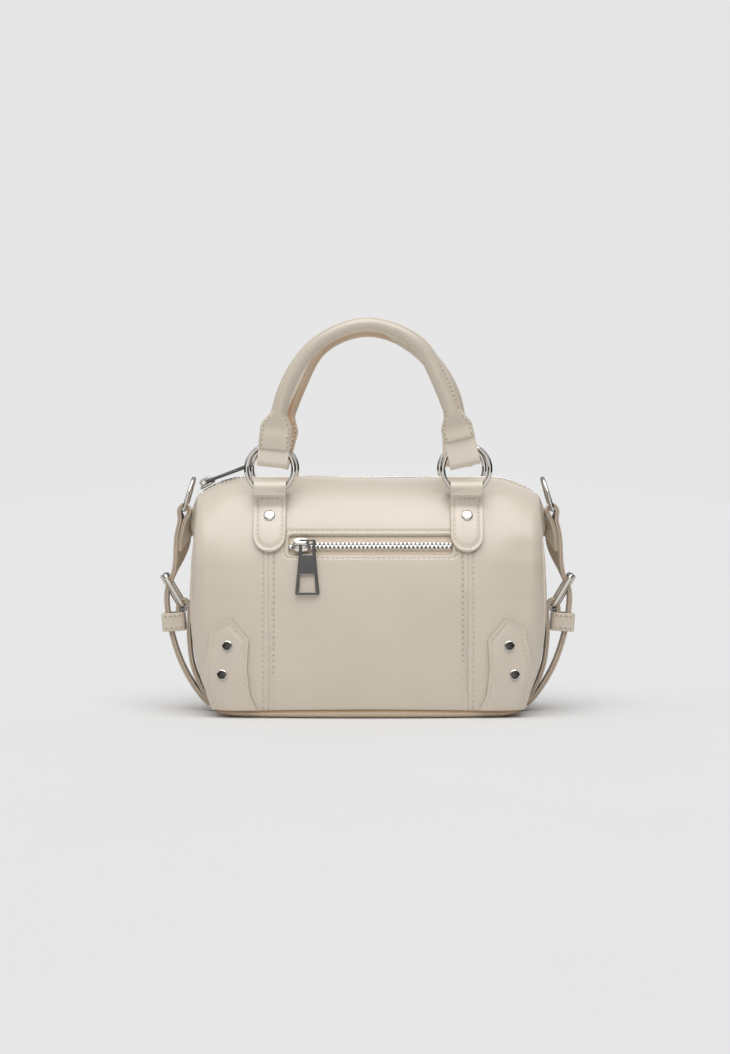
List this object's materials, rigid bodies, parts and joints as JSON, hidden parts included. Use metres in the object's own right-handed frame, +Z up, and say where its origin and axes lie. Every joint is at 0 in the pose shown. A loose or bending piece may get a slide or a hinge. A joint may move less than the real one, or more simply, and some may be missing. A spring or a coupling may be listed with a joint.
{
  "type": "bowling bag",
  "caption": "Rounded leather bowling bag with rolled handles on rings, a zip top, a zipped front pocket, riveted corner patches and buckled end straps; carries belongings by hand.",
  "frame": {"origin": "on the floor under the middle of the bag's outer box", "axes": "+X to the right along the bag's width, the pocket zip's face looks to -Y, +Z up"},
  "size_m": [0.2622, 0.1154, 0.2448],
  "materials": {
    "body_leather": "smooth cream leather, semi-matt",
    "trim_leather": "smooth cream leather, semi-matt, tan at the cut edges",
    "zip_cloth": "woven cream tape",
    "zip_teeth": "polished silver teeth",
    "bright_metal": "polished nickel plate",
    "pull_metal": "dark polished plate with bright edges"
  },
  "bodies": {
    "bag": {"front_center_panel": "body_leather", "front_left_panel": "body_leather", "front_right_panel": "body_leather", "back_center_panel": "body_leather", "back_left_panel": "body_leather", "back_right_panel": "body_leather", "left_end_panel": "body_leather", "right_end_panel": "body_leather", "bottom_panel": "body_leather", "top_zip_tape": "zip_cloth", "top_zip_chain": "zip_teeth", "top_zip_slider": "bright_metal", "pocket_zip_tape": "zip_cloth", "pocket_zip_chain": "zip_teeth", "pocket_zip_slider": "bright_metal", "front_left_chape": "trim_leather", "front_left_chape_rivet": "bright_metal", "front_left_patch": "trim_leather", "front_left_patch_rivet_1": "bright_metal", "front_left_patch_rivet_2": "bright_metal", "front_right_chape": "trim_leather", "front_right_chape_rivet": "bright_metal", "front_right_patch": "trim_leather", "front_right_patch_rivet_1": "bright_metal", "front_right_patch_rivet_2": "bright_metal", "back_left_chape": "trim_leather", "back_left_chape_rivet": "bright_metal", "back_left_patch": "trim_leather", "back_left_patch_rivet_1": "bright_metal", "back_left_patch_rivet_2": "bright_metal", "back_right_chape": "trim_leather", "back_right_chape_rivet": "bright_metal", "back_right_patch": "trim_leather", "back_right_patch_rivet_1": "bright_metal", "back_right_patch_rivet_2": "bright_metal", "left_upper_strap": "trim_leather", "left_lower_strap": "trim_leather", "left_keeper": "trim_leather", "left_buckle_frame": "bright_metal", "left_buckle_prong": "bright_metal", "right_upper_strap": "trim_leather", "right_lower_strap": "trim_leather", "right_keeper": "trim_leather", "right_buckle_frame": "bright_metal", "right_buckle_prong": "bright_metal"},
    "front_handle_body": {"front_handle": "trim_leather", "front_left_handle_loop": "trim_leather", "front_left_ring": "bright_metal", "front_right_handle_loop": "trim_leather", "front_right_ring": "bright_metal"},
    "back_handle_body": {"back_handle": "trim_leather", "back_left_handle_loop": "trim_leather", "back_left_ring": "bright_metal", "back_right_handle_loop": "trim_leather", "back_right_ring": "bright_metal"},
    "pocket_pull_body": {"pocket_zip_pull": "pull_metal"},
    "top_pull_body": {"top_zip_pull": "pull_metal"},
    "left_d_ring_body": {"left_d_ring": "bright_metal"},
    "right_d_ring_body": {"right_d_ring": "bright_metal"}
  },
  "joints": [
    {"name": "front_handle_swing", "type": "hinge", "parent": "bag", "child": "front_handle_body", "pos_m": [0, -0.038, 0.1398], "axis": [1, 0, 0], "range_deg": [-15, 140]},
    {"name": "back_handle_swing", "type": "hinge", "parent": "bag", "child": "back_handle_body", "pos_m": [0, 0.038, 0.1398], "axis": [-1, 0, 0], "range_deg": [-15, 140]},
    {"name": "pocket_pull_swing", "type": "hinge", "parent": "bag", "child": "pocket_pull_body", "pos_m": [-0.03707, -0.05451, 0.10642], "axis": [0, -0.9945, 0.1045], "range_deg": [-35, 90]},
    {"name": "top_pull_lift", "type": "hinge", "parent": "bag", "child": "top_pull_body", "pos_m": [-0.10188, 0, 0.14384], "axis": [0, -1, 0], "range_deg": [0, 110]},
    {"name": "left_d_ring_swing", "type": "hinge", "parent": "bag", "child": "left_d_ring_body", "pos_m": [-0.1154, 0, 0.1264], "axis": [0, -1, 0], "range_deg": [-4, 130]},
    {"name": "right_d_ring_swing", "type": "hinge", "parent": "bag", "child": "right_d_ring_body", "pos_m": [0.1154, 0, 0.1264], "axis": [0, 1, 0], "range_deg": [-4, 130]}
  ]
}
